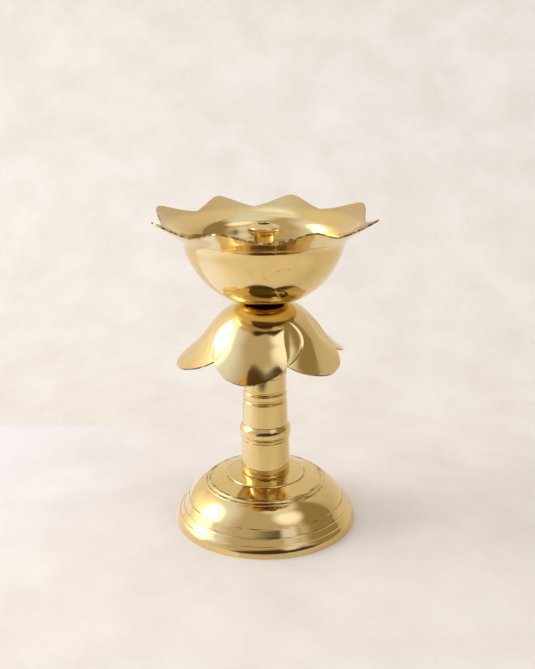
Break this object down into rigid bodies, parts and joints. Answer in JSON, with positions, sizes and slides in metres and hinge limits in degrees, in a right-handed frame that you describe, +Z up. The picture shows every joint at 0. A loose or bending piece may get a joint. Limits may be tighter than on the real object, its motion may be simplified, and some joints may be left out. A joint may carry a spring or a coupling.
{
  "type": "pedestal diya",
  "caption": "Polished brass oil lamp: a lotus-petal bowl with a lift-out wick plate and wick holder, above down-turned petals, a turned stem and a stepped round base.",
  "frame": {"origin": "centre of the base's rim, on the surface that the lamp stands on", "axes": "+Z up the stem, -Y towards the viewer of the picture, +X to the viewer's right"},
  "size_m": [0.1138, 0.116, 0.172],
  "materials": {
    "cast_brass": "cast, turned and mirror polished",
    "turned_brass": "turned and mirror polished",
    "sheet_brass": "pressed, cut by hand and mirror polished",
    "zinced_steel": "bright zinc plated",
    "red_fibre": "matt vulcanised fibre"
  },
  "bodies": {
    "stand": {"base": "cast_brass", "base_nut": "zinced_steel", "base_washer": "zinced_steel", "stem": "turned_brass", "tie_rod": "zinced_steel", "lower_petals": "sheet_brass", "spacer_ring": "turned_brass", "bowl": "sheet_brass", "sealing_washer": "red_fibre", "bowl_nut": "zinced_steel"},
    "plate": {"wick_plate": "turned_brass"},
    "holder": {"wick_holder": "turned_brass"}
  },
  "joints": [
    {"name": "plate_lift", "type": "slide", "parent": "stand", "child": "plate", "axis": [0, 0, 1], "range_m": [0, 0.08]},
    {"name": "holder_lift", "type": "slide", "parent": "plate", "child": "holder", "axis": [0, 0, 1], "range_m": [0, 0.03]}
  ]
}
